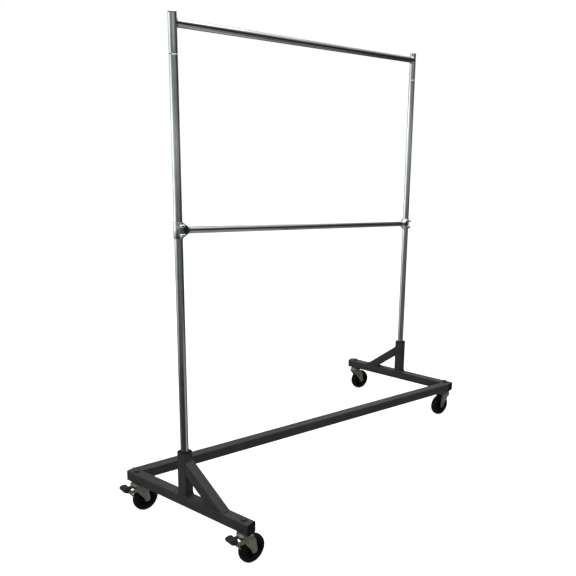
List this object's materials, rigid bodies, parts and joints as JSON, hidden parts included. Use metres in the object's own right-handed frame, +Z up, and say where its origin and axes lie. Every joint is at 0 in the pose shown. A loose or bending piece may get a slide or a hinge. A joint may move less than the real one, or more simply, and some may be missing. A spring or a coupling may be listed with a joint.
{
  "type": "rolling clothes rack",
  "caption": "Clothes rack on swivel casters: Z-shaped square-tube base, round chrome uprights, top hang rail, and a lower rail in movable clamps.",
  "frame": {"origin": "on the floor, below the middle of the rack's box", "axes": "+X along the top hang rail, +Y along the legs, +Z up"},
  "size_m": [1.6748, 0.591, 1.7253],
  "materials": {
    "charcoal_paint": "satin charcoal powder coat with a fine texture",
    "chrome": "bright chrome plate with faint drawing lines",
    "zinc": "dull zinc-plated pressed steel",
    "rubber": "matt black rubber tread with dust in it",
    "black_plastic": "moulded black plastic",
    "pedal_plastic": "moulded dark grey plastic"
  },
  "bodies": {
    "base": {"diagonal_beam": "charcoal_paint", "leg_left": "charcoal_paint", "corner_plug_left": "black_plastic", "end_plug_left": "black_plastic", "socket_left": "charcoal_paint", "socket_bush_left": "black_plastic", "brace_left": "charcoal_paint", "upright_left": "chrome", "leg_right": "charcoal_paint", "corner_plug_right": "black_plastic", "end_plug_right": "black_plastic", "socket_right": "charcoal_paint", "socket_bush_right": "black_plastic", "brace_right": "charcoal_paint", "upright_right": "chrome", "caster_stem_left_front": "zinc", "stem_nut_left_front": "charcoal_paint", "caster_stem_left_rear": "zinc", "stem_nut_left_rear": "charcoal_paint", "caster_stem_right_front": "zinc", "stem_nut_right_front": "charcoal_paint", "caster_stem_right_rear": "zinc", "stem_nut_right_rear": "charcoal_paint"},
    "top_frame": {"top_rail": "chrome", "end_post_left": "chrome", "post_cap_left": "chrome", "end_post_right": "chrome", "post_cap_right": "chrome"},
    "mid_rail": {"mid_rail": "chrome", "clamp_arm_left": "chrome", "clamp_strap_left": "chrome", "clamp_screw_upper_left": "zinc", "clamp_screw_lower_left": "zinc", "clamp_arm_right": "chrome", "clamp_strap_right": "chrome", "clamp_screw_upper_right": "zinc", "clamp_screw_lower_right": "zinc"},
    "swivel_left_front": {"fork_left_front": "zinc", "axle_left_front": "zinc", "brake_pin_left_front": "zinc"},
    "wheel_left_front": {"tyre_left_front": "rubber", "hub_left_front": "black_plastic"},
    "brake_left_front": {"brake_lever_left_front": "zinc", "brake_pedal_left_front": "pedal_plastic"},
    "swivel_left_rear": {"fork_left_rear": "zinc", "axle_left_rear": "zinc", "brake_pin_left_rear": "zinc"},
    "wheel_left_rear": {"tyre_left_rear": "rubber", "hub_left_rear": "black_plastic"},
    "brake_left_rear": {"brake_lever_left_rear": "zinc", "brake_pedal_left_rear": "pedal_plastic"},
    "swivel_right_front": {"fork_right_front": "zinc", "axle_right_front": "zinc"},
    "wheel_right_front": {"tyre_right_front": "rubber", "hub_right_front": "black_plastic"},
    "swivel_right_rear": {"fork_right_rear": "zinc", "axle_right_rear": "zinc"},
    "wheel_right_rear": {"tyre_right_rear": "rubber", "hub_right_rear": "black_plastic"}
  },
  "joints": [
    {"name": "top_frame_lift", "type": "slide", "parent": "base", "child": "top_frame", "axis": [0, 0, 1], "range_m": [0, 0.12]},
    {"name": "mid_rail_height", "type": "slide", "parent": "base", "child": "mid_rail", "axis": [0, 0, 1], "range_m": [-0.55, 0.45]},
    {"name": "swivel_left_front", "type": "hinge", "parent": "base", "child": "swivel_left_front", "pos_m": [-0.77049, -0.262, 0.103], "axis": [0, 0, 1], "continuous": true},
    {"name": "roll_left_front", "type": "hinge", "parent": "swivel_left_front", "child": "wheel_left_front", "pos_m": [-0.74114, -0.26824, 0.049], "axis": [0.2079, 0.9781, 0], "continuous": true},
    {"name": "brake_left_front", "type": "hinge", "parent": "swivel_left_front", "child": "brake_left_front", "pos_m": [-0.80374, -0.25493, 0.096], "axis": [-0.2079, -0.9781, 0], "range_deg": [0, 22]},
    {"name": "swivel_left_rear", "type": "hinge", "parent": "base", "child": "swivel_left_rear", "pos_m": [-0.77049, 0.252, 0.103], "axis": [0, 0, 1], "continuous": true},
    {"name": "roll_left_rear", "type": "hinge", "parent": "swivel_left_rear", "child": "wheel_left_rear", "pos_m": [-0.74114, 0.24576, 0.049], "axis": [0.2079, 0.9781, 0], "continuous": true},
    {"name": "brake_left_rear", "type": "hinge", "parent": "swivel_left_rear", "child": "brake_left_rear", "pos_m": [-0.80374, 0.25907, 0.096], "axis": [-0.2079, -0.9781, 0], "range_deg": [0, 22]},
    {"name": "swivel_right_front", "type": "hinge", "parent": "base", "child": "swivel_right_front", "pos_m": [0.76151, -0.252, 0.103], "axis": [0, 0, 1], "continuous": true},
    {"name": "roll_right_front", "type": "hinge", "parent": "swivel_right_front", "child": "wheel_right_front", "pos_m": [0.73282, -0.24323, 0.049], "axis": [-0.2924, -0.9563, 0], "continuous": true},
    {"name": "swivel_right_rear", "type": "hinge", "parent": "base", "child": "swivel_right_rear", "pos_m": [0.76151, 0.262, 0.103], "axis": [0, 0, 1], "continuous": true},
    {"name": "roll_right_rear", "type": "hinge", "parent": "swivel_right_rear", "child": "wheel_right_rear", "pos_m": [0.78933, 0.25076, 0.049], "axis": [0.3746, 0.9272, 0], "continuous": true}
  ]
}
